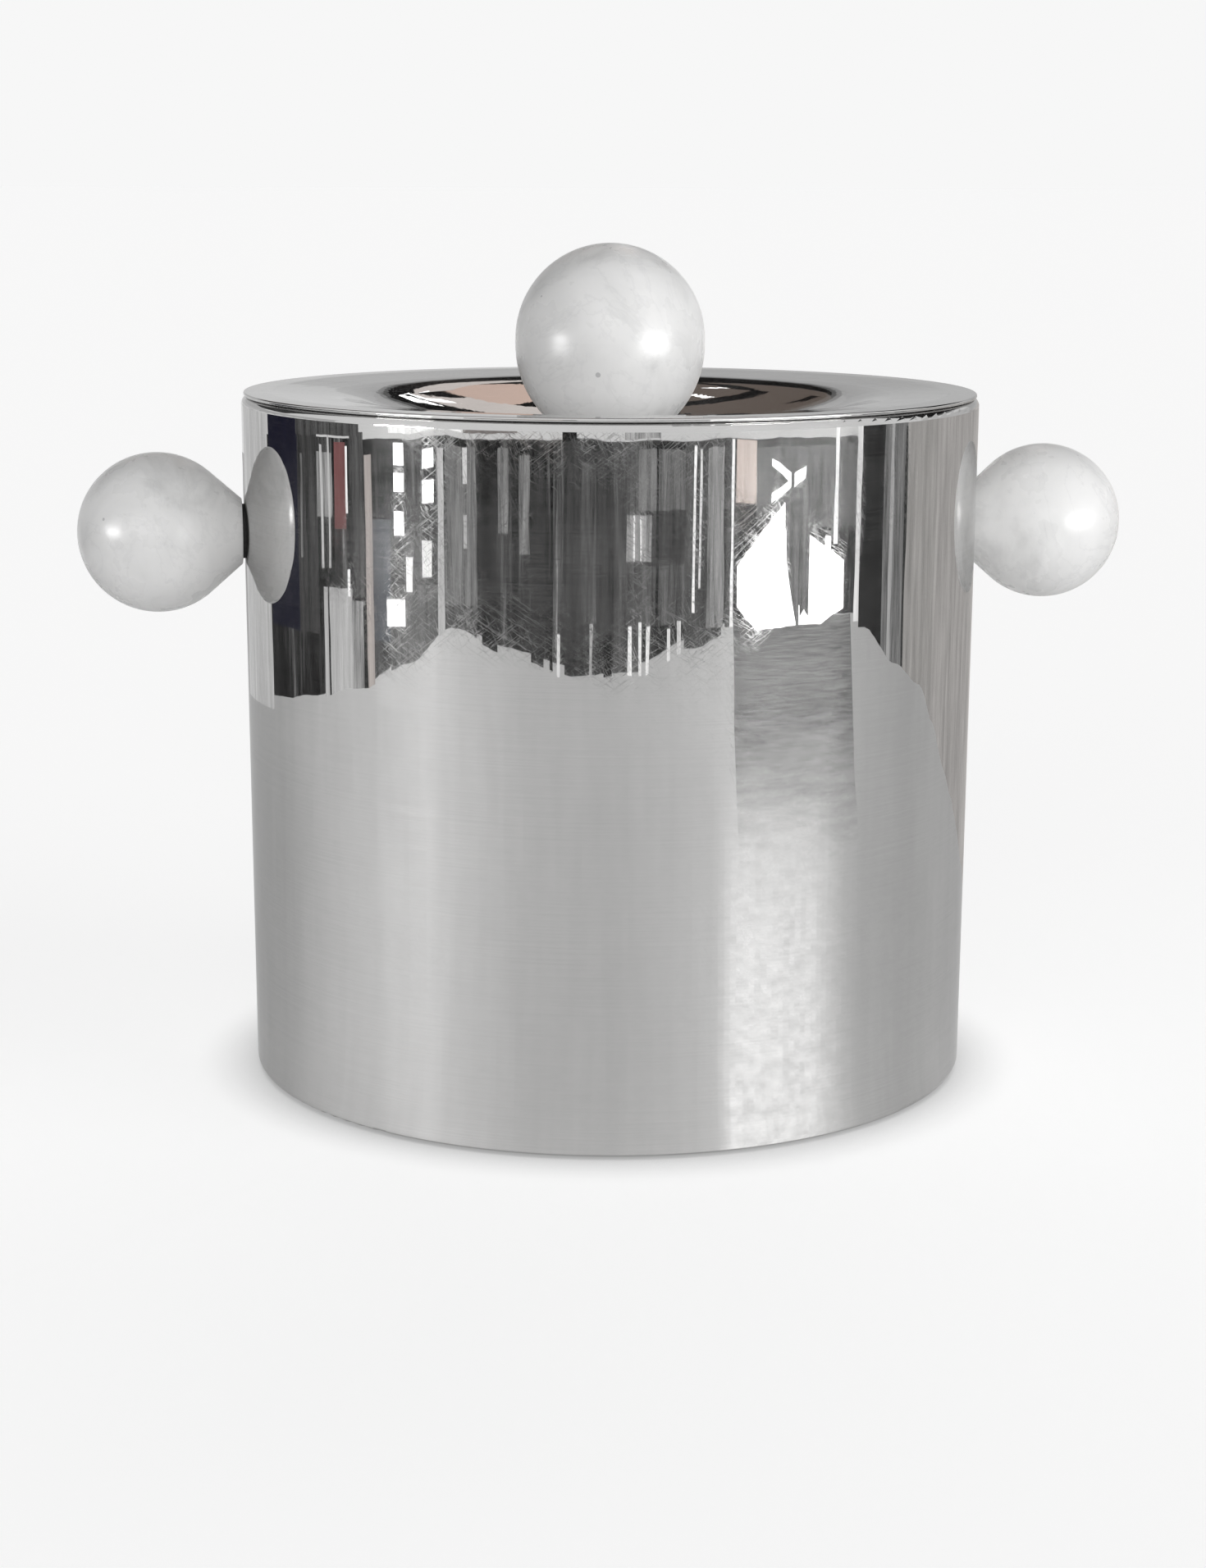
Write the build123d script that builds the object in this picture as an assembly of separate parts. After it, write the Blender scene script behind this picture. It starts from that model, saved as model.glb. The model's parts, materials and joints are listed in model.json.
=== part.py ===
from build123d import *
import os
from math import acos, asin, atan2, cos, degrees, hypot, radians, sin, sqrt, tan

# A lidded champagne bucket: a double-walled steel drum with a lift-off dished lid, a large
# marble ball on the lid and a smaller marble ball on each side as a carrying knob.
# Millimetres, +Z up, origin on the table under the centre of the base, side knobs along X.

# The drum
DRUM_R = 98.0            # outside radius just under the rim
BASE_R = 97.0            # outside radius just above the bottom corner: a little draft
RIM_Z = 182.0            # height of the rim above the table
MOUTH_R = 90.0           # inside radius of the mouth and of the liner
SHEET = 1.0              # thickness of every steel sheet
RIM_ROUND = 2.2          # rounding of the rim's outer shoulder
LIP_ROUND = 1.6          # rounding where the rim turns down into the mouth
LIP_DROP = 5.0           # depth of the lip, down to its weld with the liner
CORNER_ROUND = 2.0       # rounding of the drum's bottom corner
LAND_R = 84.0            # inner radius of the land that turns in under the drum
LINER_FLOOR_Z = 14.0     # inside floor of the liner
LINER_ROUND = 14.0       # rounding between the liner's wall and its floor

# The base
PAD = 0.5                # how far the rubber foot ring stands below the steel
PAD_IN_R = 78.0          # inner and outer radius of the foot ring
PAD_OUT_R = 91.0
PLATE_R = 88.0           # base plate, welded on top of the drum's land
PLATE_DISH_R = 70.0      # its raised centre
PLATE_RAMP = 5.0         # radial length of the ramp up to that centre
PLATE_RISE = 3.6
PLATE_ROUND = 4.0

# The lid
LID_R = 97.4             # outer edge, just inside the drum's wall
SEAT_R = 90.5            # inner end of the flat that rests on the rim
SEAT_ROUND = 30.0        # easing between that flat and the slope inside it
SLOPE_DEG = 3.5          # slope of the broad ring between the seat and the bowl
LIP_OUT_R = 75.0         # where that slope starts to turn down into the bowl
LIP_ARC_R = 35.0         # rounding of the bowl's lip
BOWL_ARC_R = 122.8       # curve of the bowl
BOWL_DEG = 22.8          # steepest slope in the bowl, where lip and curve meet
EDGE_ROUND = 0.45        # rounding of the lid's cut edge
SKIRT_GAP = 1.5          # play between the locating ring and the mouth
SKIRT_IN_R = 85.2        # inner edge of the locating ring's welded flange
SKIRT_ROUND = 1.5
SKIRT_H = 9.0            # how far the locating ring reaches into the mouth

# The ball on the lid, slightly drawn out downwards
TOP_BALL_R = 25.25
TOP_BARREL = 1.5         # straight stretch under its equator
TOP_LOWER_R = 27.0       # profile radius of its lower half
TOP_DROP = 25.5          # from its equator down to its flat foot
TOP_WASHER_R = 9.6
TOP_WASHER_H = 1.0

# The balls on the sides, each with a conical neck
SIDE_BALL_R = 21.0
SIDE_BALL_X = 120.45     # centre, from the drum's axis
SIDE_BALL_Z = 146.4      # centre, above the table
SIDE_FOOT_R = 8.6        # flat foot of the neck
SIDE_FOOT_X = 98.35      # where that foot ends, from the drum's axis
SIDE_WASHER_R = 7.2

# Fasteners and inserts
FOOT_ROUND = 0.5         # rounding round a knob's foot
CLEAR = 0.05             # play between faces that are clamped or glued together
HOLE_PLAY = 0.4          # clearance round a screw's shank
TOP_SHANK_R = 3.0
TOP_HEAD_R = 6.0
TOP_HEAD_H = 3.4
SIDE_SHANK_R = 2.5
SIDE_HEAD_R = 4.8
SIDE_HEAD_H = 2.3
SOCKET_SHARE = 0.5       # hexagon socket, as a share of the head's radius and height
HEAD_ROUND = 0.6
INSERT_WALL = 1.7        # brass round the screw
INSERT_L = 15.0
SCREW_GRIP = 12.0        # length of screw inside its insert
GROOVE = 0.4             # half width and depth of an insert's glue grooves
FLAT_WASHER_R = 9.0
FLAT_WASHER_H = 1.2
LOCK_WALL = 2.0          # radial width of a spring washer
LOCK_H = 1.0
LOCK_SPLIT = 0.8
STIFFENER_W = 36.0       # curved stiffener inside the wall behind each side knob
STIFFENER_H = 30.0
STIFFENER_T = 1.5
STIFFENER_ROUND = 6.0

# Heights and radii that follow from the above
LID_TOP_Z = RIM_Z + SHEET
SLOPE = radians(SLOPE_DEG)
STEEP = radians(BOWL_DEG)
BOWL_Z = (
    LID_TOP_Z
    - (SEAT_R - LIP_OUT_R) * tan(SLOPE)
    - LIP_ARC_R * (cos(SLOPE) - cos(STEEP))
    - BOWL_ARC_R * (1 - cos(STEEP))
)
BOWL_FLAT_R = LIP_OUT_R - LIP_ARC_R * (sin(STEEP) - sin(SLOPE)) - BOWL_ARC_R * sin(STEEP)
TOP_FOOT_Z = BOWL_Z + TOP_WASHER_H
SKIRT_R = MOUTH_R - SKIRT_GAP


def drum_radius(z):
    """Outside radius of the drum's wall at height z."""
    low = PAD + CORNER_ROUND
    return BASE_R + (DRUM_R - BASE_R) * (z - low) / (RIM_Z - RIM_ROUND - low)


def under_slope_z(r):
    """Height of the underside of the lid's sloping ring at radius r."""
    return LID_TOP_Z - SHEET / cos(SLOPE) - (SEAT_R - r) * tan(SLOPE)


def turned(section):
    """Solid of revolution about Z from a section drawn as (radius, height)."""
    return revolve(Plane.XZ * section, Axis.Z)


def enclosed(*edges):
    """Section that these edges enclose."""
    return make_face(Wire(edges))


def band(inner, outer, low, high):
    """Rectangular section between two radii and two heights."""
    return Pos((inner + outer) / 2, (low + high) / 2) * Rectangle(outer - inner, high - low)


def pressed(path, side):
    """Sheet-metal shell of even thickness on one side of path, turned about Z."""
    return turned(make_face(offset(path, SHEET, side=side, closed=True)))


def along_x(solid, x, z):
    """Solid built up along Z from its origin, laid along +X from (x, 0, z)."""
    return Pos(x, 0, z) * Rot(0, 90, 0) * solid


# Drum

def outer_shell():
    """Drum wall with its rim rolled in at the top and a land turned in at the bottom."""
    path = FilletPolyline(
        (LAND_R, PAD),
        (drum_radius(PAD), PAD),
        (drum_radius(RIM_Z), RIM_Z),
        (MOUTH_R, RIM_Z),
        (MOUTH_R, RIM_Z - LIP_DROP),
        radius=[CORNER_ROUND, RIM_ROUND, LIP_ROUND],
    )
    hole = Rot(0, 90, 0) * Cylinder(SIDE_SHANK_R + HOLE_PLAY, 3 * DRUM_R)
    return pressed(path, Side.LEFT) - Pos(0, 0, SIDE_BALL_Z) * hole


def inner_liner():
    """Round-bottomed inner cup, butt-welded to the lip of the drum."""
    path = FilletPolyline(
        (0, LINER_FLOOR_Z),
        (MOUTH_R, LINER_FLOOR_Z),
        (MOUTH_R, RIM_Z - LIP_DROP),
        radius=LINER_ROUND,
    )
    return pressed(path, Side.RIGHT)


def base_plate():
    """Pressed disc that closes the bottom, raised in the middle so that it stands flat."""
    seat_z = PAD + SHEET
    path = FilletPolyline(
        (0, seat_z + PLATE_RISE),
        (PLATE_DISH_R, seat_z + PLATE_RISE),
        (PLATE_DISH_R + PLATE_RAMP, seat_z),
        (PLATE_R, seat_z),
        radius=PLATE_ROUND,
    )
    return pressed(path, Side.LEFT)


def foot_ring():
    """Rubber ring that the bucket stands on, keyed into the opening in the drum's land."""
    under = band(PAD_IN_R, PAD_OUT_R, 0, PAD)
    key = band(PAD_IN_R, LAND_R - CLEAR, PAD, PAD + SHEET - CLEAR)
    return turned(under + key)


# Lid

def lid_dish():
    """Lid pressed from one sheet: flat seat, gently sloping ring and a round bowl."""
    floor = Line((0, BOWL_Z), (BOWL_FLAT_R, BOWL_Z))
    bowl = JernArc(floor @ 1, floor % 1, BOWL_ARC_R, BOWL_DEG)
    lip = JernArc(bowl @ 1, bowl % 1, LIP_ARC_R, SLOPE_DEG - BOWL_DEG)
    ring = FilletPolyline(lip @ 1, (SEAT_R, LID_TOP_Z), (LID_R, LID_TOP_Z), radius=SEAT_ROUND)
    dish = pressed(Wire([floor, bowl, lip, *ring.edges()]), Side.RIGHT)
    cut_edges = dish.edges().filter_by(lambda edge: edge.bounding_box().max.X > LID_R - CLEAR)
    dish = fillet(cut_edges, EDGE_ROUND)
    return dish - Pos(0, 0, BOWL_Z) * Cylinder(TOP_SHANK_R + HOLE_PLAY, 3 * SHEET)


def lid_skirt():
    """Locating ring welded under the lid's slope, which drops into the mouth with some play."""
    path = FilletPolyline(
        (SKIRT_IN_R, under_slope_z(SKIRT_IN_R)),
        (SKIRT_R, under_slope_z(SKIRT_R)),
        (SKIRT_R, RIM_Z - SKIRT_H),
        radius=SKIRT_ROUND,
    )
    return pressed(path, Side.RIGHT)


# Knobs, screws and washers, each built up along Z from its foot at the origin

def bored(knob, shank_r):
    """Knob with the blind hole that its insert is glued into."""
    hole_r = shank_r + INSERT_WALL + CLEAR
    foot_edge = knob.edges().group_by(Axis.Z)[0]
    return fillet(foot_edge, FOOT_ROUND) - Pos(0, 0, INSERT_L / 2) * Cylinder(hole_r, INSERT_L)


def top_ball():
    """Marble ball whose lower half is a little fuller than a sphere, cut off flat."""
    lower_angle = degrees(asin((TOP_DROP - TOP_BARREL) / TOP_LOWER_R))
    lower = CenterArc(
        (TOP_BALL_R - TOP_LOWER_R, TOP_DROP - TOP_BARREL), TOP_LOWER_R, -lower_angle, lower_angle
    )
    upper = CenterArc((0, TOP_DROP), TOP_BALL_R, 0, 90)
    section = enclosed(
        Line((0, 0), lower @ 0), lower, Line(lower @ 1, upper @ 0), upper, Line(upper @ 1, (0, 0))
    )
    return bored(turned(section), TOP_SHANK_R)


def side_ball():
    """Marble ball that runs out tangentially into a conical neck with a flat foot."""
    drop = SIDE_BALL_X - SIDE_FOOT_X
    tangent = atan2(SIDE_FOOT_R, drop) + acos(SIDE_BALL_R / hypot(drop, SIDE_FOOT_R))
    ball = CenterArc((0, drop), SIDE_BALL_R, degrees(tangent) - 90, 180 - degrees(tangent))
    foot = Line((0, 0), (SIDE_FOOT_R, 0))
    section = enclosed(foot, Line(foot @ 1, ball @ 0), ball, Line(ball @ 1, (0, 0)))
    return bored(turned(section), SIDE_SHANK_R)


def insert(shank_r):
    """Brass threaded insert with grooves that key it in the glue."""
    outer_r = shank_r + INSERT_WALL
    section = band(shank_r + CLEAR, outer_r, CLEAR, INSERT_L - CLEAR)
    for quarter in (1, 2, 3):
        z = quarter * INSERT_L / 4
        section -= band(outer_r - GROOVE, outer_r + GROOVE, z - GROOVE, z + GROOVE)
    return turned(section)


def screw(shank_r, head_r, head_h, stack):
    """Socket-head screw: shank up through the stack of pieces under the foot, head below."""
    head = Pos(0, 0, -stack - head_h / 2) * Cylinder(head_r, head_h)
    head = fillet(head.edges().group_by(Axis.Z)[0], HEAD_ROUND)
    socket = extrude(RegularPolygon(head_r * SOCKET_SHARE, 6), head_h * SOCKET_SHARE)
    shank_l = stack + SCREW_GRIP
    shank = Pos(0, 0, SCREW_GRIP - shank_l / 2) * Cylinder(shank_r, shank_l)
    return head + shank - Pos(0, 0, -stack - head_h) * socket


def washer(shank_r, outer_r, height):
    """Plain washer whose top face is at the origin."""
    return turned(band(shank_r + HOLE_PLAY, outer_r, -height, 0))


def lock_washer(shank_r):
    """Split spring washer whose top face is at the origin."""
    outer_r = shank_r + HOLE_PLAY + LOCK_WALL
    split = Pos(outer_r / 2, 0, -LOCK_H / 2) * Box(outer_r * 2, LOCK_SPLIT, 2 * LOCK_H)
    return washer(shank_r, outer_r, LOCK_H) - Pos(outer_r, 0, 0) * split


# Side knob pieces that follow the drum's curved wall

def drum_envelope(inset):
    """Solid cone of the drum's wall, set in by a distance from its outside."""
    return turned(
        enclosed(
            *Polyline(
                (0, 0), (drum_radius(0) - inset, 0), (drum_radius(RIM_Z) - inset, RIM_Z), (0, RIM_Z), (0, 0)
            ).edges()
        )
    )


def side_washer():
    """Rubber washer between neck and wall, hollowed to sit on the drum."""
    length = SIDE_FOOT_X - BASE_R + STIFFENER_T
    section = band(SIDE_SHANK_R + HOLE_PLAY, SIDE_WASHER_R, 0, length)
    return along_x(turned(section), SIDE_FOOT_X - length, SIDE_BALL_Z) - drum_envelope(-CLEAR / 2)


def stiffener():
    """Curved steel plate inside the wall that spreads the pull of the side knob."""
    blank = extrude(RectangleRounded(STIFFENER_H, STIFFENER_W, STIFFENER_ROUND), DRUM_R)
    blank -= Cylinder(SIDE_SHANK_R + HOLE_PLAY, 3 * DRUM_R)
    wall = drum_envelope(SHEET + CLEAR) - drum_envelope(SHEET + STIFFENER_T)
    return along_x(blank, 0, SIDE_BALL_Z) & wall


def side_pieces():
    """Every piece of the knob on the +X side, in place."""
    face_r = drum_radius(SIDE_BALL_Z) - SHEET - STIFFENER_T
    lock_r = SIDE_SHANK_R + HOLE_PLAY + LOCK_WALL
    lock_x = sqrt(face_r**2 - lock_r**2) - CLEAR
    stack = SIDE_FOOT_X - lock_x + LOCK_H
    pieces = {
        "knob": side_ball(),
        "knob_insert": insert(SIDE_SHANK_R),
        "knob_screw": screw(SIDE_SHANK_R, SIDE_HEAD_R, SIDE_HEAD_H, stack),
    }
    placed = {name: along_x(solid, SIDE_FOOT_X, SIDE_BALL_Z) for name, solid in pieces.items()}
    placed["knob_washer"] = side_washer()
    placed["stiffener"] = stiffener()
    placed["lock_washer"] = along_x(lock_washer(SIDE_SHANK_R), lock_x, SIDE_BALL_Z)
    return placed


def top_pieces():
    """Every piece of the knob on the lid, in place."""
    under = BOWL_Z - SHEET
    stack = TOP_FOOT_Z - under + FLAT_WASHER_H + LOCK_H
    return {
        "lid_knob": Pos(0, 0, TOP_FOOT_Z) * top_ball(),
        "lid_knob_insert": Pos(0, 0, TOP_FOOT_Z) * insert(TOP_SHANK_R),
        "lid_knob_washer": Pos(0, 0, TOP_FOOT_Z) * washer(TOP_SHANK_R, TOP_WASHER_R, TOP_WASHER_H),
        "lid_flat_washer": Pos(0, 0, under) * washer(TOP_SHANK_R, FLAT_WASHER_R, FLAT_WASHER_H),
        "lid_lock_washer": Pos(0, 0, under - FLAT_WASHER_H) * lock_washer(TOP_SHANK_R),
        "lid_screw": Pos(0, 0, TOP_FOOT_Z) * screw(TOP_SHANK_R, TOP_HEAD_R, TOP_HEAD_H, stack),
    }


def assembly():
    """Every sub-part by node name."""
    nodes = {
        "outer_shell": outer_shell(),
        "inner_liner": inner_liner(),
        "base_plate": base_plate(),
        "foot_ring": foot_ring(),
        "lid_dish": lid_dish(),
        "lid_skirt": lid_skirt(),
    }
    nodes.update(top_pieces())
    for side, turn in (("right", 0), ("left", 180)):
        for name, solid in side_pieces().items():
            nodes[side + "_" + name] = Rot(0, 0, turn) * solid
    return nodes


os.makedirs("parts", exist_ok=True)
for node, solid in assembly().items():
    export_step(solid, "parts/" + node + ".step")
    print(node, "volume", round(solid.volume), "mm3")
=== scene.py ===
import json
from math import cos, pi, radians, sin

import bmesh
import bpy
from mathutils import Matrix, Vector


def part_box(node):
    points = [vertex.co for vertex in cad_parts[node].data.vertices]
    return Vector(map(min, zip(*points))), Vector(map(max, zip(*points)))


# A lidded champagne bucket of mirror-polished steel with three white marble balls.
# The shapes are the CAD nodes; this script gives them their materials, light and camera.

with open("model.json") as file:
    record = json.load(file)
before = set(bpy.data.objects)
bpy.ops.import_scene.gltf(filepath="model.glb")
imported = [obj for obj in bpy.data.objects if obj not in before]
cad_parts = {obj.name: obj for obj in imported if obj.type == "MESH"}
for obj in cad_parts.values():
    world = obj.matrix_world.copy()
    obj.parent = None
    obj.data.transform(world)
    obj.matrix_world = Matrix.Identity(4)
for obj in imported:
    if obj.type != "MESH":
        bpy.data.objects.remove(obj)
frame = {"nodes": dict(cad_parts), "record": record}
bpy.context.view_layer.update()
NODES = frame["nodes"]

DRUM_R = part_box("outer_shell")[1].x
LID_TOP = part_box("lid_dish")[1].z

# The camera, from where the left knob is a little nearer than the right one
CAMERA_TURN = radians(8.48)      # towards the left knob, from square on
CAMERA_DISTANCE = 0.7938         # from the drum's axis
CAMERA_SIDE = -0.0015            # to the right of the line to the axis
CAMERA_HEIGHT = 0.2388
CAMERA_PITCH = radians(11.64)    # downwards
CAMERA_ROLL = radians(0.2)
CAMERA_LENS = 67.75              # millimetres on a 36 mm sensor

# Light levels
BACKGROUND = 0.93                # white that the camera and polished metal see
SKY = 0.26                       # world's light on the object
SUNS = [                         # very soft suns: name, azimuth, elevation, strength, spread
    ("key", 64.0, 5.0, 2.35, 50.0),
    ("front", -8.0, 4.0, 1.6, 60.0),
    ("back", 172.0, 18.0, 1.1, 60.0),
]
FLOOR_COLOUR = 0.85              # floor's own colour, which lights the object from below
FLOOR_LIGHT = 0.55               # light that falls on the open floor
FLOOR_SHADOW = 0.42              # how much of the object's shadow the white floor shows
FLOOR_HALF = 60.0                # half the floor's width
CONTACT_SHADOW = 0.60            # darkening of the floor right beside the drum
CONTACT_REACH = 0.017            # and how far it reaches

# Screens and cards round the set, which only polished surfaces show. Azimuths are degrees to the
# right of the camera's line, as seen from the drum's axis; lengths are metres.
SCREEN_TOP = 0.104
NOMINAL = 0.85                   # distance at which the cards' heights are stated
RAY_SLOPE = 0.166                # slope of the line from the drum to height 0 at that distance
RAY_EASE = 0.8                   # how much flatter that line is, for each metre of height there
CARD_GAP = 0.004                 # from the screen to the first card
CARD_STEP = 0.0006               # from each card to the next
DIM_TONE = 0.6                   # plain tones darker than this have the stronger streaks
DIM_STREAKS = 0.75
BRIGHT_STREAKS = 0.25
FOOT = -0.05                     # bottom of a card that reaches the floor
LOW_FOOT = -0.10                 # and of nearer ones
NEAR_FOOT = -0.22
SCREEN_FOOT = [                  # azimuth and distance
    (-128, 0.64), (-112, 0.65), (-99, 0.67), (-77, 0.72), (-60, 0.80), (-46, 0.92), (-30, 0.85),
    (-10, 0.80), (8, 0.81), (24, 0.88), (36, 0.93), (60, 0.95), (80, 0.94), (93, 0.82), (106, 0.75),
    (114, 0.64), (120, 0.54), (127, 0.47), (132, 0.41), (138, 0.335), (146, 0.28), (152, 0.34),
    (170, 0.74),
]

# Dark slab lying on the mat under the window
SLAB = (35.5, 75.0, 0.93, 0.34)  # azimuths, and distances from the axis
SLAB_FADE = (0.45, 0.90)         # share of the way towards the drum over which it gives out
SLAB_TONE = 0.28
SLAB_Z = 0.002

BLACK = 0.006
WHITE = 3.0
NAVY = (0.010, 0.010, 0.026)
ROSE = (0.30, 0.12, 0.12)
BEIGE = (0.92, 0.70, 0.60)

# Mat on the floor inside the screen, with a pool of glare near the drum
MAT_REACH = 1.1
MAT_Z = 0.0004
UNDER_MAT_Z = 0.0002
MAT_START = 0.985                # radius where the mat meets the drum, as a share of the drum's
MAT_GLOW = 0.62
POOL_GLOW = 0.52
POOL_LEFT = (33.0, 38.0)         # azimuths over which the pool begins
POOL_RIGHT = (64.0, 84.0)        # and ends
POOL_REACH = (0.16, 0.42)        # share of the mat's reach over which it fades outwards
MAT_TONES = [                    # azimuth and tone
    (-180, 0.50), (-140, 0.50), (-122, 0.52), (-105, 0.62), (-85, 0.70), (-66, 0.74), (-56, 0.82),
    (-44, 0.74), (-26, 0.63), (0, 0.61), (21, 0.67), (36, 0.76), (64, 0.70),
    (74, 0.58), (92, 0.52), (106, 0.48), (130, 0.55), (180, 0.50),
]

# Upright cards before the screen: azimuths from and to, heights from and to, tone
CARDS = [
    (-122, -104, 0.000, 0.150, NAVY),
    (-104, -94, 0.000, 0.108, 0.07),
    (-102.6, -101.6, 0.040, 0.095, 0.35),
    (-94, -87, 0.062, 0.096, 0.40),
    (-92.5, -91.5, 0.030, 0.100, 0.95),
    (-89.5, -88.6, 0.028, 0.108, 0.80),
    (-94, -88, 0.026, 0.036, BLACK),
    (-92, -80, FOOT, 0.026, 0.75),
    (-90.2, -89.4, FOOT, 0.026, 0.05),
    (-87.4, -82, 0.056, 0.102, ROSE),
    (-87.6, -86.6, 0.040, 0.104, BLACK),
    (-82, -81, 0.064, 0.100, 1.6),
    (-81.6, -80.6, 0.022, 0.036, 1.8),
    (-80, -75, 0.022, 0.108, 0.12),
    (-80, -75, FOOT, 0.020, 0.50),
    (-75.8, -74.6, FOOT, 0.018, 0.03),
    (-74.6, -71.8, FOOT, 0.096, (0.66, 0.60, 0.57)),
    (-71.8, -66, 0.000, 0.062, (0.10, 0.11, 0.13)),
    (-66, -38, FOOT, 0.030, 0.15),
    (-48, -38, 0.020, 0.100, 0.28),
    (-64.5, -61, 0.090, 0.102, WHITE),
    (-64.5, -61, 0.076, 0.086, WHITE),
    (-64.5, -61, 0.054, 0.066, WHITE),
    (-60.4, -58, 0.026, 0.044, 1.6),
    (-67.5, -61, 0.008, 0.022, WHITE),
    (-54.6, -51.4, 0.088, 0.098, WHITE),
    (-54.6, -51.4, 0.070, 0.082, WHITE),
    (-55, -52, 0.034, 0.052, 1.5),
    (-50.2, -48.4, FOOT, 0.098, 0.80),
    (-42.4, -41, 0.080, 0.100, 1.1),
    (-42.4, -41, 0.048, 0.064, 0.8),
    (-36.5, -32, FOOT, 0.100, 0.02),
    (-31.5, -28.5, 0.056, 0.100, 0.32),
    (-25.5, -22.4, 0.046, 0.096, 0.30),
    (-22.4, -18.8, FOOT, 0.104, 0.05),
    (-16.8, -15.8, FOOT, 0.104, BLACK),
    (-12.5, 1.0, FOOT, 0.104, 0.06),
    (-8.0, -4.0, 0.014, 0.092, 0.12),
    (1.0, 8.0, FOOT, 0.104, 0.12),
    (8.0, 21.0, 0.068, 0.100, 0.24),
    (8.0, 21.0, 0.042, 0.068, 0.07),
    (8.0, 21.0, 0.012, 0.042, 0.15),
    (12.8, 13.5, 0.012, 0.102, BLACK),
    (4.5, 11.5, 0.044, 0.066, 0.50),
    (6.4, 7.0, 0.044, 0.066, 1.4),
    (8.4, 9.0, 0.044, 0.066, 1.4),
    (21.0, 32.0, 0.000, 0.104, 0.10),
    (23.4, 24.2, 0.018, 0.102, 1.8),
    (25.2, 25.8, 0.030, 0.100, 1.4),
    (27.5, 32.5, 0.010, 0.100, 0.42),
    (-14.6, -13.8, FOOT, 0.008, 1.3),
    (-5.6, -4.8, FOOT, 0.014, 0.7),
    (-1.6, 0.6, FOOT, 0.008, BLACK),
    (5.2, 6.2, FOOT, 0.012, 1.6),
    (8.0, 8.8, FOOT, 0.014, 1.5),
    (10.2, 11.0, FOOT, 0.012, 1.4),
    (16.2, 17.0, FOOT, 0.010, 1.3),
    (19.0, 20.0, FOOT, 0.014, 1.2),
    (33.0, 35.0, 0.010, 0.104, 0.10),
    (34.6, 35.4, 0.010, 0.104, 1.8),
    (36.0, 42.0, 0.070, 0.104, (1.0, 0.85, 0.78)),
    (42.0, 76.0, 0.058, 0.100, 0.16),
    (47.0, 53.0, (0.090, 0.080), (0.094, 0.086), WHITE),
    (47.0, 53.0, (0.070, 0.078), (0.075, 0.083), WHITE),
    (54.0, 58.0, (0.078, 0.084), (0.086, 0.090), WHITE),
    (47.0, 53.0, (0.060, 0.050), (0.065, 0.054), WHITE),
    (68.0, 69.4, 0.050, 0.112, 1.8),
    (36.5, 44, (0.020, 0.006), (0.040, 0.056), 5.0),
    (44, 51, 0.006, (0.056, 0.070), 5.0),
    (50.5, 56, (0.010, 0.002), (0.060, 0.016), 5.0),
    (51.5, 56, (0.044, 0.004), (0.066, 0.058), 0.22),
    (56, 60, (0.002, 0.004), 0.020, 5.0),
    (58, 72, (0.004, 0.018), (0.056, 0.042), 5.0),
    (56.2, 58.0, (0.014, 0.018), (0.062, 0.088), 0.20),
    (58.0, 59.8, (0.018, 0.014), (0.088, 0.062), 0.20),
    (65, 67, 0.020, 0.054, 3.0),
    (76.0, 79.0, 0.010, 0.110, 1.3),
    (78.0, 87.0, FOOT, 0.150, 0.012),
    (87.0, 97.0, LOW_FOOT, 0.150, 0.26),
    (89.5, 91.0, LOW_FOOT, 0.150, 0.60),
    (96.0, 97.0, LOW_FOOT, 0.110, 0.05),
    (97.0, 112.0, LOW_FOOT, 0.160, (0.50, 0.485, 0.47)),
    (112.0, 150.0, NEAR_FOOT, 0.160, (0.58, 0.56, 0.545)),
    (-152.0, -122.0, FOOT, 0.160, 0.80),
    (-70, -52, 0.150, 0.230, 27.0),
    (37, 72, 0.150, 0.240, 24.0),
    # behind the set, seen only from other sides
    (150.0, 228.0, FOOT, 0.090, 0.50),
    (160.0, 163.0, 0.010, 0.110, 1.2),
    (170.0, 181.0, FOOT, 0.110, 0.06),
    (186.0, 193.0, 0.020, 0.100, 1.2),
    # over the screen, seen just under the drum's rim
    (-104.0, -76.0, 0.106, 0.150, 0.10),
    (-66.0, -42.0, 0.108, 0.140, 1.6),
    (-42.0, -26.0, 0.108, 0.150, (0.30, 0.27, 0.26)),
    (-26.0, -13.0, 0.114, 0.150, (0.44, 0.36, 0.32)),
    (-13.0, -9.0, 0.104, 0.150, BLACK),
    (-9.0, 4.0, 0.110, 0.150, 0.78),
    (4.0, 14.0, 0.106, 0.150, 0.55),
    (14.0, 28.0, 0.112, 0.150, 0.34),
    (28.0, 74.0, 0.112, 0.140, WHITE),
]

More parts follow.
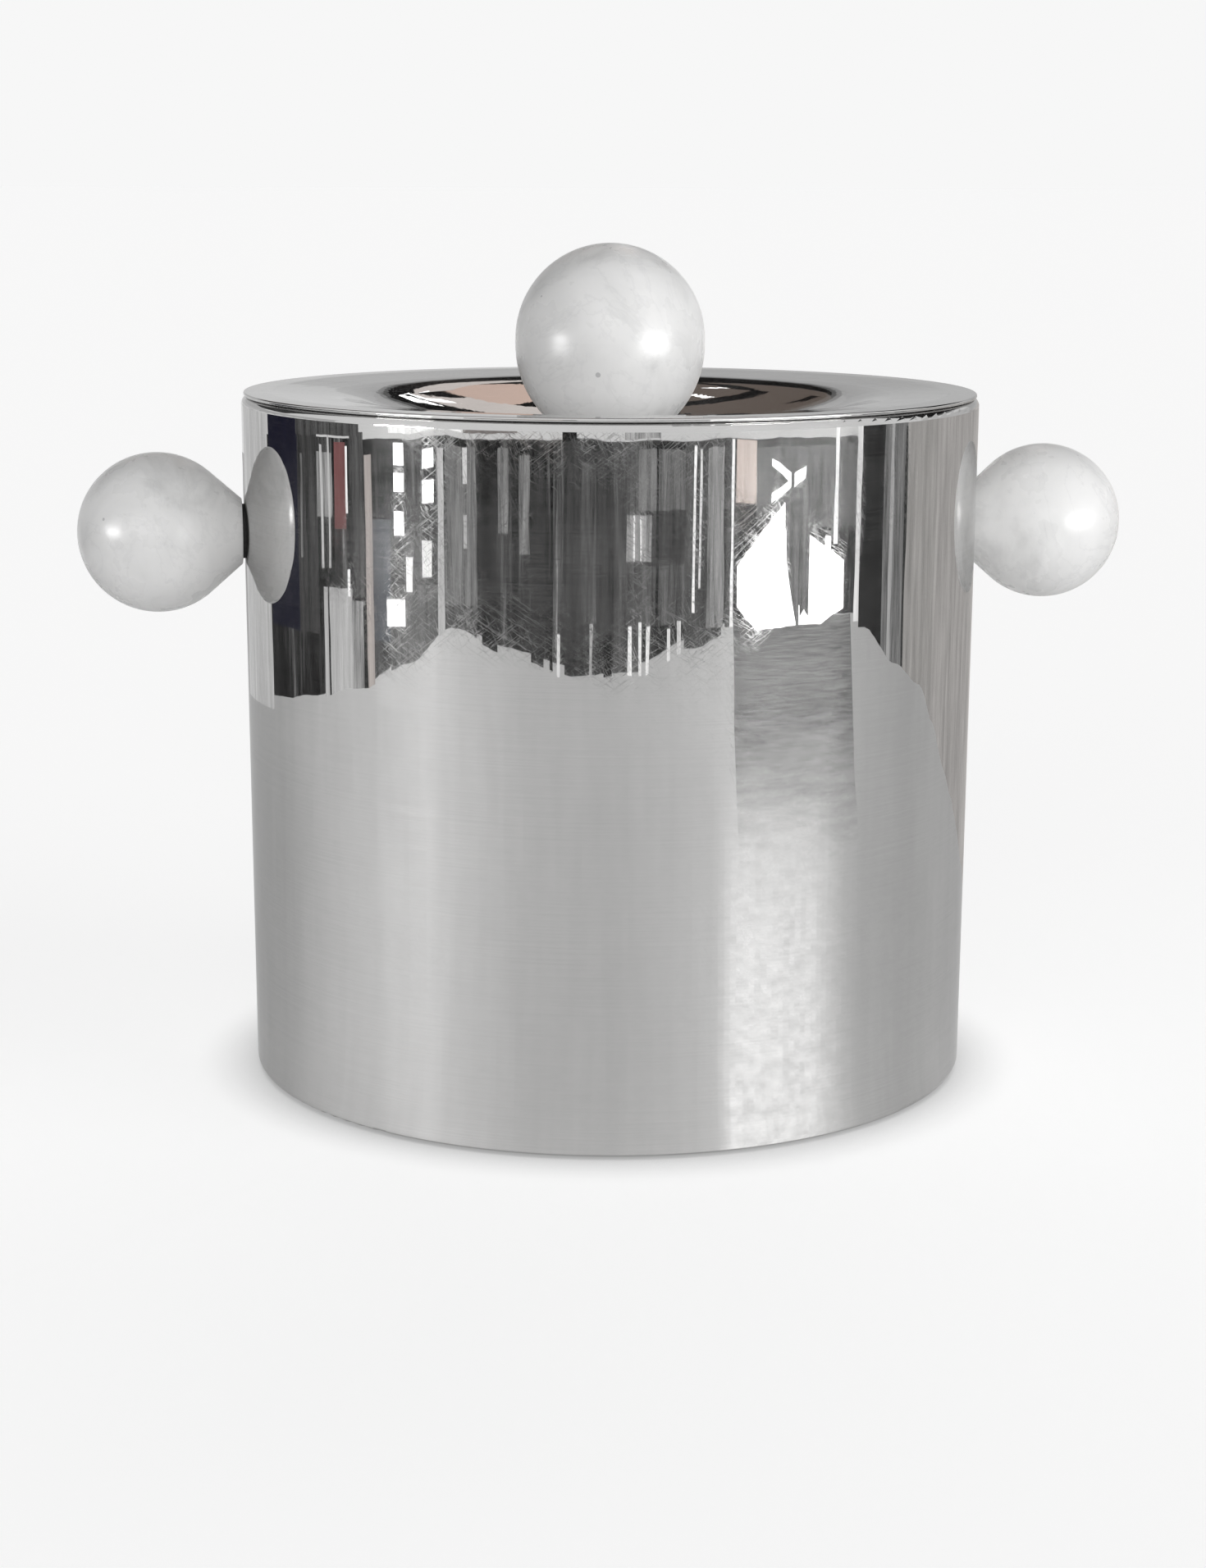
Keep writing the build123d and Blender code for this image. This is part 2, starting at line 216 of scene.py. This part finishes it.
# Cards high behind the set, shown in the lid's bowl: azimuths, elevations, tone
DOME_R = 2.6
DOME_STEP = 0.01                 # from each card inwards to the next
DOME_PATCH = 4.0                 # degrees across each of a card's faces
DOME_STREAKS = 0.05
HIGH_CARDS = [
    (90, 150, 0, 12, 0.72),
    (150, 180, 0, 5, 0.60),
    (150, 180, 5, 15.5, 0.58),
    (180, 225, 0, 6, 0.74),
    (180, 225, 6, 15.5, 0.64),
    (225, 270, 0, 12, 0.60),
    (120, 182, 15.5, 17, 0.38),
    (120, 182, 17, 18.5, 0.16),
    (120, 182, 18.5, 80, BLACK),
    (182, 208, 15.5, 17.5, 0.42),
    (182, 208, 17.5, 19.5, (0.27, 0.24, 0.22)),
    (182, 208, 19.5, 80, (0.19, 0.155, 0.135)),
    (208, 240, 15.5, 80, 0.05),
    (182, 189, 34, 37, BLACK),
    (184.5, 187, 22, 25, BLACK),
    (185.2, 185.7, 37.5, 41, 3.0),
    (165.0, 176, 33, 46, BEIGE),
    (173.6, 179, 25, 33, (0.95, 0.88, 0.84)),
    (172.4, 173.6, 23.5, 26.0, 5.0),
    (171.4, 172.6, 26.8, 29.6, 5.0),
    (174.8, 176.0, 21.5, 24.2, 5.0),
    (174.2, 175.0, 25.0, 28.0, 3.0),
]

# Polished steel: how much of it the fine turning marks cover, and how rough they are
MARK_SHARE = 0.066
MARK_ROUGHNESS = 0.36


# Node helpers

class Nodes:
    """Short way to add and link shader nodes in one material or world."""

    def __init__(self, tree):
        self.tree = tree
        tree.nodes.clear()

    def add(self, kind, inputs=None, **settings):
        node = self.tree.nodes.new("ShaderNode" + kind)
        for name, value in settings.items():
            setattr(node, name, value)
        for name, value in (inputs or {}).items():
            self.put(node.inputs[name], value)
        return node

    def put(self, socket, value):
        """Links an output to the socket, or sets its value."""
        if isinstance(value, bpy.types.NodeSocket):
            self.tree.links.new(value, socket)
        else:
            socket.default_value = value

    def surface(self, shader):
        """Puts a shader on the material's output."""
        outputs = [node for node in self.tree.nodes if node.type == "OUTPUT_MATERIAL"]
        output = outputs[0] if outputs else self.add("OutputMaterial")
        self.put(output.inputs["Surface"], shader.outputs[0])

    def math(self, operation, a, b=0.0):
        return self.add("Math", {0: a, 1: b}, operation=operation).outputs[0]

    def remap(self, value, low, high, to_low, to_high):
        return self.add("MapRange", {0: value, 1: low, 2: high, 3: to_low, 4: to_high}).outputs[0]

    def eased(self, value, low, high, to_low, to_high):
        """The same as remap, with soft ends."""
        inputs = {0: value, 1: low, 2: high, 3: to_low, 4: to_high}
        return self.add("MapRange", inputs, interpolation_type="SMOOTHSTEP").outputs[0]

    def ramp(self, factor, stops):
        """Colour ramp; each stop is (position, grey or (r, g, b))."""
        node = self.add("ValToRGB", {"Fac": factor})
        elements = node.color_ramp.elements
        while len(elements) < len(stops):
            elements.new(0.5)
        for element, (position, colour) in zip(elements, stops):
            element.position = position
            element.color = rgba(colour)
        return node.outputs["Color"]

    def noise(self, vector, scale, detail=2.0, roughness=0.5, distortion=0.0):
        inputs = {
            "Vector": vector, "Scale": scale, "Detail": detail,
            "Roughness": roughness, "Distortion": distortion,
        }
        return self.add("TexNoise", inputs).outputs["Fac"]

    def stretched(self, vector, scale, rotation=(0, 0, 0)):
        """The vector with its axes scaled and turned."""
        inputs = {"Vector": vector, "Scale": scale, "Rotation": rotation}
        return self.add("Mapping", inputs).outputs[0]

    def mix(self, factor, a, b, blend="MIX"):
        node = self.add("Mix", {0: factor}, data_type="RGBA", blend_type=blend)
        for number, value in ((6, a), (7, b)):
            linked = isinstance(value, bpy.types.NodeSocket)
            self.put(node.inputs[number], value if linked else rgba(value))
        return node.outputs[2]

    def bump(self, height, distance, strength=1.0, normal=None):
        inputs = {"Height": height, "Distance": distance, "Strength": strength}
        if normal is not None:
            inputs["Normal"] = normal
        return self.add("Bump", inputs).outputs[0]


def rgba(colour):
    """Grey level or (r, g, b) as four numbers."""
    if isinstance(colour, (int, float)):
        colour = (colour, colour, colour)
    return (*colour, 1.0)


def blank_material(name):
    """Material with its nodes cleared."""
    material = bpy.data.materials.new(name)
    material.use_nodes = True
    return material, Nodes(material.node_tree)


def new_material(name):
    """Material with only its principled shader, already on the output."""
    material, nodes = blank_material(name)
    shader = nodes.add("BsdfPrincipled")
    nodes.surface(shader)
    return material, nodes, shader.inputs


def wrapped(nodes):
    """Object position wrapped round Z: (arc length at the drum's wall, height, radius), in metres."""
    position = nodes.add("TexCoord").outputs["Object"]
    split = nodes.add("SeparateXYZ", {0: position})
    x, y, z = split.outputs
    arc = nodes.math("MULTIPLY", nodes.math("ARCTAN2", y, x), DRUM_R)
    squares = nodes.math("ADD", nodes.math("POWER", x, 2.0), nodes.math("POWER", y, 2.0))
    radius = nodes.math("SQRT", squares)
    return position, nodes.add("CombineXYZ", {0: arc, 1: z, 2: radius}).outputs[0]


def hairlines(nodes, vector, directions, scale, thinness):
    """Fine scratches: long thin noise streaks in a few directions, broken up by a coarser noise."""
    lines = 0.0
    for number, degrees in enumerate(directions):
        turned = nodes.stretched(vector, (1, 1, 1), (0, 0, radians(degrees)))
        streak = nodes.stretched(turned, (scale * 0.045, scale, scale * 0.3))
        moved = nodes.add("VectorMath", {0: streak, 1: (number * 7.3, number * 3.1, 0)}).outputs[0]
        fine = nodes.noise(moved, 1.0, 3.0, 0.6)
        rise = nodes.eased(fine, 0.5 - thinness, 0.5, 0.0, 1.0)
        fall = nodes.eased(fine, 0.5, 0.5 + thinness, 1.0, 0.0)
        line = nodes.math("MULTIPLY", rise, fall)
        lines = nodes.math("MAXIMUM", lines, line) if number else line
    return lines


# Materials

def polished_steel():
    """Mirror-polished sheet: slight waviness, faint turning marks that smear lights, scratches."""
    material, nodes = blank_material("polished_steel")
    position, unrolled = wrapped(nodes)
    haze = nodes.noise(position, 26.0, 4.0, 0.55)
    patches = nodes.noise(position, 13.0, 2.0)
    scratches = hairlines(nodes, unrolled, (31, -38, 68), 700.0, 0.006)
    patchy = nodes.math("MULTIPLY", scratches, nodes.remap(patches, 0.48, 0.62, 0.0, 1.0))
    tint = nodes.ramp(haze, [(0.3, (0.585, 0.582, 0.578)), (0.7, (0.615, 0.612, 0.607))])
    colour = nodes.mix(nodes.math("MULTIPLY", patchy, 0.25), tint, 0.45)
    dents = nodes.noise(nodes.stretched(unrolled, (1, 0.35, 1)), 28.0, 1.0)
    ridges = nodes.noise(nodes.stretched(unrolled, (1, 0.13, 1)), 62.0, 2.0)
    ripples = nodes.noise(nodes.stretched(unrolled, (1, 0.13, 1)), 300.0, 1.0)
    wavy = nodes.bump(ridges, 0.00004, 1.0, nodes.bump(dents, 0.00005))
    wavy = nodes.bump(ripples, 0.00001, 1.0, wavy)
    normal = nodes.bump(patchy, 0.000001, 0.5, wavy)

    mirror = nodes.add("BsdfPrincipled", {"Base Color": colour, "Normal": normal})
    polish = nodes.remap(haze, 0.3, 0.75, 0.006, 0.016)
    roughness = nodes.math("ADD", polish, nodes.math("MULTIPLY", patchy, 0.07))
    nodes.put(mirror.inputs["Roughness"], roughness)
    smear = nodes.add("BsdfPrincipled", {"Base Color": colour, "Normal": wavy})
    smear.inputs["Roughness"].default_value = MARK_ROUGHNESS
    smear.inputs["Anisotropic"].default_value = 1.0
    smear.inputs["Anisotropic Rotation"].default_value = 0.25
    around = nodes.add("Tangent", direction_type="RADIAL", axis="Z").outputs[0]
    nodes.put(smear.inputs["Tangent"], around)
    for metal in (mirror, smear):
        metal.inputs["Metallic"].default_value = 1.0
        metal.inputs["Specular Tint"].default_value = rgba(0.8)

    rings = nodes.noise(nodes.stretched(unrolled, (30, 2600, 2600)), 1.0, 2.0, 0.6)
    wiped = nodes.noise(nodes.stretched(unrolled, (16, 24, 24)), 1.0, 6.0, 0.7)
    ringed = nodes.remap(rings, 0.3, 0.7, 0.65, 1.35)
    marks = nodes.math("MULTIPLY", ringed, nodes.remap(wiped, 0.32, 0.68, 0.2, 1.8))
    marked = nodes.math("MULTIPLY", marks, MARK_SHARE)
    nodes.surface(nodes.add("MixShader", {0: marked, 1: mirror.outputs[0], 2: smear.outputs[0]}))
    return material


def satin_steel():
    """Turned satin sheet with fine rings round the axis."""
    material, nodes, shader = new_material("satin_steel")
    position, unrolled = wrapped(nodes)
    rings = nodes.noise(nodes.stretched(unrolled, (6, 2600, 2600)), 1.0, 3.0, 0.65)
    cloud = nodes.noise(position, 18.0, 3.0)
    tint = nodes.ramp(rings, [(0.3, (0.52, 0.52, 0.515)), (0.7, (0.68, 0.68, 0.672))])
    nodes.put(shader["Base Color"], nodes.mix(nodes.math("MULTIPLY", cloud, 0.25), tint, 0.5))
    nodes.put(shader["Roughness"], nodes.remap(rings, 0.3, 0.7, 0.24, 0.38))
    nodes.put(shader["Normal"], nodes.bump(rings, 0.000006, 0.7))
    shader["Metallic"].default_value = 1.0
    return material


def marble():
    """Polished white marble: soft grey clouds, faint veins, small pits and dark specks."""
    material, nodes, shader = new_material("marble")
    position = nodes.add("TexCoord").outputs["Object"]
    warp = nodes.noise(position, 22.0, 3.0, 0.6)
    cloud = nodes.noise(nodes.stretched(position, (1, 1.25, 0.8)), 42.0, 5.0, 0.55, 0.6)
    base = nodes.ramp(cloud, [
        (0.28, (0.70, 0.70, 0.695)), (0.42, (0.86, 0.86, 0.855)),
        (0.58, (0.915, 0.913, 0.908)), (0.8, (0.95, 0.948, 0.942)),
    ])
    vein_noise = nodes.noise(nodes.stretched(position, (1.4, 0.8, 1.0)), 30.0, 6.0, 0.6, 1.6)
    away = nodes.math("ABSOLUTE", nodes.math("SUBTRACT", vein_noise, 0.5))
    vein = nodes.remap(away, 0.0, 0.022, 1.0, 0.0)
    faint = nodes.math("MULTIPLY", vein, nodes.math("MULTIPLY", warp, 0.35))
    veined = nodes.mix(faint, base, (0.60, 0.60, 0.61))
    cells = nodes.add("TexVoronoi", {"Vector": position, "Scale": 150.0, "Randomness": 1.0})
    chance = nodes.add("SeparateColor", {0: cells.outputs["Color"]}).outputs[0]
    speck_size = nodes.math("SUBTRACT", nodes.math("MULTIPLY", chance, 0.34), 0.235)
    speck = nodes.math("LESS_THAN", cells.outputs["Distance"], speck_size)
    specked = nodes.mix(nodes.math("MULTIPLY", speck, 0.55), veined, (0.34, 0.34, 0.35))
    nodes.put(shader["Base Color"], specked)
    polish = nodes.noise(position, 90.0, 3.0, 0.6)
    nodes.put(shader["Roughness"], nodes.remap(polish, 0.3, 0.7, 0.24, 0.34))
    dimples = nodes.noise(position, 260.0, 3.0, 0.6)
    uneven = nodes.bump(dimples, 0.00006, 0.35)
    sunk = nodes.math("MULTIPLY", speck, -1.0)
    nodes.put(shader["Normal"], nodes.bump(sunk, 0.0001, 0.5, uneven))
    shader["IOR"].default_value = 1.52
    shader["Subsurface Weight"].default_value = 0.12
    shader["Subsurface Radius"].default_value = (0.004, 0.004, 0.0038)
    shader["Subsurface Scale"].default_value = 1.0
    return material


def rubber():
    """Matt black moulded rubber."""
    material, nodes, shader = new_material("rubber")
    position = nodes.add("TexCoord").outputs["Object"]
    grain = nodes.noise(position, 1400.0, 3.0, 0.6)
    dust = nodes.noise(position, 60.0, 3.0)
    tint = nodes.ramp(dust, [(0.35, (0.016, 0.016, 0.017)), (0.75, (0.034, 0.033, 0.032))])
    nodes.put(shader["Base Color"], tint)
    nodes.put(shader["Roughness"], nodes.remap(grain, 0.3, 0.7, 0.62, 0.85))
    nodes.put(shader["Normal"], nodes.bump(grain, 0.00003, 0.5))
    return material


def machined(name, dark, light):
    """Bright turned metal for screws, washers and inserts."""
    material, nodes, shader = new_material(name)
    position = nodes.add("TexCoord").outputs["Object"]
    marks = nodes.noise(nodes.stretched(position, (900, 900, 3600)), 1.0, 2.0, 0.6)
    wear = nodes.noise(position, 220.0, 3.0)
    both = nodes.math("MULTIPLY", nodes.math("ADD", marks, wear), 0.5)
    nodes.put(shader["Base Color"], nodes.ramp(both, [(0.35, dark), (0.65, light)]))
    nodes.put(shader["Roughness"], nodes.remap(marks, 0.3, 0.7, 0.2, 0.36))
    nodes.put(shader["Normal"], nodes.bump(marks, 0.00001, 0.6))
    shader["Metallic"].default_value = 1.0
    return material


def dress(materials):
    """Gives each CAD node the material of its slot in the record."""
    slot_of = {part["node"]: part["material_slot"] for part in frame["record"]["subparts"]}
    for name, node in NODES.items():
        node.data.materials.clear()
        node.data.materials.append(materials[slot_of[name]])


# Studio: world, floor, what the steel reflects, lamps and camera

def ray(nodes, *kinds):
    """1 for rays of any of these kinds."""
    path = nodes.add("LightPath")
    total = path.outputs[kinds[0]]
    for kind in kinds[1:]:
        total = nodes.math("MAXIMUM", total, path.outputs[kind])
    return total


def from_camera(azimuth, radius, height):
    """Point at an azimuth in degrees to the right of the camera's line, from the drum's axis."""
    turn = radians(azimuth - 90) - CAMERA_TURN
    return Vector((radius * cos(turn), radius * sin(turn), height))


def make_world():
    """Soft even sky that is plain white to the camera and in the polished steel."""
    world = bpy.data.worlds.new("studio")
    world.use_nodes = True
    bpy.context.scene.world = world
    nodes = Nodes(world.node_tree)
    seen = ray(nodes, "Is Camera Ray", "Is Glossy Ray", "Is Transmission Ray")
    level = nodes.add("Mix", {0: seen, 2: SKY, 3: BACKGROUND}, data_type="FLOAT").outputs[0]
    back = nodes.add("Background", {"Color": rgba(1.0), "Strength": level})
    nodes.add("OutputWorld", {"Surface": back.outputs[0]})


def stage_object(name, build, material):
    """Turns a bmesh into an object of the set with this material, linked into the scene."""
    mesh = bpy.data.meshes.new(name)
    build.to_mesh(mesh)
    build.free()
    mesh.materials.append(material)
    thing = bpy.data.objects.new(name, mesh)
    bpy.context.scene.collection.objects.link(thing)
    return thing


def reflected_only(thing):
    """Hides a card from everything but mirror reflections."""
    thing.visible_camera = False
    thing.visible_diffuse = False
    thing.visible_shadow = False
    thing.visible_transmission = False


def make_floor():
    """Plain pale floor: white to the camera and in the steel, with soft shadows."""
    material, nodes = blank_material("floor")
    shaded = nodes.add("BsdfDiffuse", {"Color": rgba(FLOOR_SHADOW * BACKGROUND)})
    open_sky = nodes.add("AmbientOcclusion", {"Distance": CONTACT_REACH}, samples=4).outputs["AO"]
    lit = nodes.remap(open_sky, 0.3, 0.97, 1 - CONTACT_SHADOW, 1.0)
    level = nodes.math("MULTIPLY", lit, BACKGROUND * (1 - FLOOR_SHADOW * FLOOR_LIGHT))
    lifted = nodes.add("Emission", {"Strength": level})
    white = nodes.add("AddShader", {0: shaded.outputs[0], 1: lifted.outputs[0]})
    plain = nodes.add("BsdfDiffuse", {"Color": rgba(FLOOR_COLOUR)})
    seen = ray(nodes, "Is Camera Ray", "Is Glossy Ray", "Is Transmission Ray")
    mixed = nodes.add("MixShader", {0: seen, 1: plain.outputs[0], 2: white.outputs[0]})
    nodes.surface(mixed)
    build = bmesh.new()
    bmesh.ops.create_grid(build, x_segments=1, y_segments=1, size=FLOOR_HALF)
    stage_object("floor", build, material)


def between(ends, part):
    """Value a share of the way between two ends, or the one value that both ends have."""
    if isinstance(ends, tuple):
        return ends[0] + (ends[1] - ends[0]) * part
    return ends


def strip(build, layer, azimuths, place, low, high, steps=2.0):
    """Upright strip round the set; place(azimuth, v) is a corner, and its UV is (azimuth, v).

    low and high are one height, or a pair for a sloping edge.
    """
    count = max(1, round((azimuths[1] - azimuths[0]) / steps))
    corners = []
    for i in range(count + 1):
        azimuth = between(azimuths, i / count)
        corners.append([(azimuth, between(edge, i / count)) for edge in (low, high)])
    verts = [[build.verts.new(place(*corner)) for corner in column] for column in corners]
    for i in range(count):
        face = build.faces.new((verts[i][0], verts[i + 1][0], verts[i + 1][1], verts[i][1]))
        around = (corners[i][0], corners[i + 1][0], corners[i + 1][1], corners[i][1])
        for loop, corner in zip(face.loops, around):
            loop[layer].uv = corner


def screen_distance(azimuth):
    """Distance of the screen's foot, eased between the points of SCREEN_FOOT."""
    points = SCREEN_FOOT
    if azimuth <= points[0][0]:
        return points[0][1]
    for (a, ra), (b, rb) in zip(points, points[1:]):
        if azimuth <= b:
            part = (azimuth - a) / (b - a)
            return ra + (rb - ra) * part * part * (3 - 2 * part)
    return points[-1][1]


def height_at(distance, v):
    """Height that lines up, in the drum, with height v at the nominal distance."""
    return v + (NOMINAL - distance) * (RAY_SLOPE - RAY_EASE * v)


def glow(name, tone, streaks):
    """Card that shines evenly, with vertical streaks in its tone."""
    material, nodes = blank_material(name)
    place = nodes.add("UVMap").outputs[0]
    coarse = nodes.noise(nodes.stretched(place, (0.55, 9, 1)), 1.0, 3.0, 0.6)
    fine = nodes.noise(nodes.stretched(place, (3.1, 40, 1)), 1.0, 3.0, 0.6)
    both = nodes.math("ADD", nodes.math("MULTIPLY", coarse, 0.6), nodes.math("MULTIPLY", fine, 0.4))
    level = nodes.remap(both, 0.36, 0.64, 1 - streaks, 1 + streaks)
    shine = nodes.add("Emission", {"Color": rgba(tone), "Strength": level})
    nodes.surface(shine)
    return material


def make_screen():
    """Dark streaky screen standing on the floor round the front of the set."""
    material, nodes = blank_material("screen")
    place = nodes.add("UVMap").outputs[0]
    broad = nodes.noise(nodes.stretched(place, (0.16, 3, 1)), 1.0, 2.0)
    fine = nodes.noise(nodes.stretched(place, (1.1, 14, 1)), 1.0, 4.0, 0.65)
    both = nodes.math("ADD", nodes.math("MULTIPLY", broad, 0.5), nodes.math("MULTIPLY", fine, 0.5))
    tone = nodes.ramp(both, [(0.36, 0.006), (0.49, 0.022), (0.56, 0.08), (0.62, 0.22), (0.69, 0.9)])
    shine = nodes.add("Emission", {"Color": tone})
    nodes.surface(shine)
    build = bmesh.new()
    layer = build.loops.layers.uv.new("place")
    ends = (SCREEN_FOOT[0][0], SCREEN_FOOT[-1][0])

    def place(azimuth, v):
        distance = screen_distance(azimuth)
        return from_camera(azimuth, distance, height_at(distance, v))

    strip(build, layer, ends, place, FOOT, SCREEN_TOP)
    reflected_only(stage_object("screen", build, material))


def make_cards():
    """Cards just before the screen, each a little nearer than the one before."""
    for number, (start, end, low, high, tone) in enumerate(CARDS):
        nearer = CARD_GAP + CARD_STEP * number
        build = bmesh.new()
        layer = build.loops.layers.uv.new("place")

        def place(azimuth, v):
            distance = screen_distance(azimuth) - nearer
            return from_camera(azimuth, distance, height_at(distance, v))

        strip(build, layer, (start, end), place, low, high)
        dim = not isinstance(tone, tuple) and tone < DIM_TONE
        material = glow(f"card_{number}", tone, DIM_STREAKS if dim else BRIGHT_STREAKS)
        reflected_only(stage_object(f"card_{number}", build, material))


def make_high_cards():
    """Patches of a dome behind the set."""
    for number, (start, end, low, high, tone) in enumerate(HIGH_CARDS):
        radius = DOME_R - DOME_STEP * number
        build = bmesh.new()
        layer = build.loops.layers.uv.new("place")

        def place(azimuth, v):
            rise = radians(v)
            return from_camera(azimuth, radius * cos(rise), LID_TOP + radius * sin(rise))

        pieces = max(1, round((high - low) / DOME_PATCH))
        for i in range(pieces):
            bottom = low + (high - low) * i / pieces
            top = low + (high - low) * (i + 1) / pieces
            strip(build, layer, (start, end), place, bottom, top, DOME_PATCH)
        material = glow(f"high_card_{number}", tone, DOME_STREAKS)
        reflected_only(stage_object(f"high_card_{number}", build, material))


def under_mat(azimuth, v):
    """Point on the plain ring under the mat, which shows where the mat leaves a gap behind."""
    return from_camera(azimuth, DRUM_R + (MAT_REACH - DRUM_R) * v, UNDER_MAT_Z)


def mat_place(azimuth, v):
    """Point on the mat: v runs out from the drum's foot, where half the azimuth meets it."""
    start = from_camera(azimuth / 2, DRUM_R * MAT_START, MAT_Z)
    return start + from_camera(azimuth, MAT_REACH * v, 0.0)


def make_mat():
    """Grey mat on the floor inside the screen, with a glare across it towards the window."""
    material, nodes = blank_material("mat")
    place = nodes.add("UVMap").outputs[0]
    azimuth, away = nodes.add("SeparateXYZ", {0: place}).outputs[:2]
    turn = nodes.remap(azimuth, -180.0, 180.0, 0.0, 1.0)
    tone = nodes.ramp(turn, [((a + 180) / 360, tone) for a, tone in MAT_TONES])
    mottle = nodes.noise(nodes.stretched(place, (0.25, 4, 1)), 1.0, 3.0)
    varied = nodes.mix(1.0, tone, nodes.ramp(mottle, [(0.3, 0.94), (0.7, 1.0)]), "MULTIPLY")
    nearby = nodes.add("BsdfDiffuse", {"Color": varied})
    smudges = nodes.noise(nodes.stretched(place, (0.22, 90, 1)), 1.0, 4.0, 0.7)
    begun = nodes.remap(azimuth, *POOL_LEFT, 0.0, 1.0)
    beam = nodes.math("MULTIPLY", begun, nodes.remap(azimuth, *POOL_RIGHT, 1.0, 0.0))
    pool = nodes.math("MULTIPLY", beam, nodes.remap(away, *POOL_REACH, POOL_GLOW, 0.0))
    pool = nodes.math("MULTIPLY", pool, nodes.remap(smudges, 0.35, 0.65, 0.45, 1.5))
    shine = nodes.add("Emission", {"Color": varied, "Strength": nodes.math("ADD", pool, MAT_GLOW)})
    both = nodes.add("AddShader", {0: nearby.outputs[0], 1: shine.outputs[0]})
    nodes.surface(both)
    build = bmesh.new()
    layer = build.loops.layers.uv.new("place")
    strip(build, layer, (-180, 180), under_mat, 0.0, 1.0)
    strip(build, layer, (-180, 180), mat_place, 0.0, 1.0)
    reflected_only(stage_object("mat", build, material))


def make_slab():
    """Brushed slab flat on the mat, brighter and ragged towards the drum."""
    material, nodes = blank_material("slab")
    place = nodes.add("UVMap").outputs[0]
    out = nodes.add("SeparateXYZ", {0: place}).outputs[1]
    brushed = nodes.noise(nodes.stretched(place, (0.12, 90, 1)), 1.0, 3.0, 0.6)
    ragged = nodes.noise(nodes.stretched(place, (0.08, 26, 1)), 1.0, 4.0, 0.65)
    tone = nodes.ramp(brushed, [(0.3, SLAB_TONE * 0.5), (0.7, SLAB_TONE * 1.5)])
    shine = nodes.add("Emission", {"Color": tone})
    reach = nodes.math("ADD", out, nodes.math("MULTIPLY", nodes.math("SUBTRACT", ragged, 0.5), 0.5))
    kept = nodes.remap(reach, *SLAB_FADE, 1.0, 0.0)
    clear = nodes.add("BsdfTransparent")
    mixed = nodes.add("MixShader", {0: kept, 1: clear.outputs[0], 2: shine.outputs[0]})
    nodes.surface(mixed)
    build = bmesh.new()
    layer = build.loops.layers.uv.new("place")
    start, end, far, near = SLAB

    def spot(azimuth, v):
        return from_camera(azimuth, far + (near - far) * v, SLAB_Z)

    strip(build, layer, (start, end), spot, 0.0, 1.0)
    reflected_only(stage_object("slab", build, material))


def make_sun(name, azimuth, elevation, strength, spread):
    """Very soft sun lamp."""
    lamp = bpy.data.lights.new(name, "SUN")
    lamp.energy = strength
    lamp.angle = radians(spread)
    sun = bpy.data.objects.new(name, lamp)
    bpy.context.scene.collection.objects.link(sun)
    aim = from_camera(azimuth, cos(radians(elevation)), sin(radians(elevation)))
    sun.visible_glossy = False
    sun.rotation_mode = "QUATERNION"
    sun.rotation_quaternion = aim.to_track_quat("Z", "Y")


def make_camera():
    """Camera at its fitted place."""
    camera = bpy.data.objects.new("camera", bpy.data.cameras.new("camera"))
    bpy.context.scene.collection.objects.link(camera)
    bpy.context.scene.camera = camera
    turn = Matrix.Rotation(-CAMERA_TURN, 4, "Z")
    place = Matrix.Translation((CAMERA_SIDE, -CAMERA_DISTANCE, CAMERA_HEIGHT))
    tilt = Matrix.Rotation(pi / 2 - CAMERA_PITCH, 4, "X") @ Matrix.Rotation(CAMERA_ROLL, 4, "Z")
    camera.matrix_world = turn @ place @ tilt
    camera.data.lens = CAMERA_LENS
    camera.data.clip_end = 200.0


dress({
    "polished_steel": polished_steel(),
    "satin_steel": satin_steel(),
    "marble": marble(),
    "rubber": rubber(),
    "brass": machined("brass", (0.56, 0.38, 0.14), (0.78, 0.58, 0.28)),
    "screw_steel": machined("screw_steel", (0.42, 0.42, 0.43), (0.62, 0.62, 0.62)),
})
make_world()
make_floor()
make_screen()
make_cards()
make_high_cards()
make_mat()
make_slab()
for sun in SUNS:
    make_sun(*sun)
make_camera()
bpy.context.scene.view_settings.view_transform = "Standard"

bpy.context.view_layer.update()
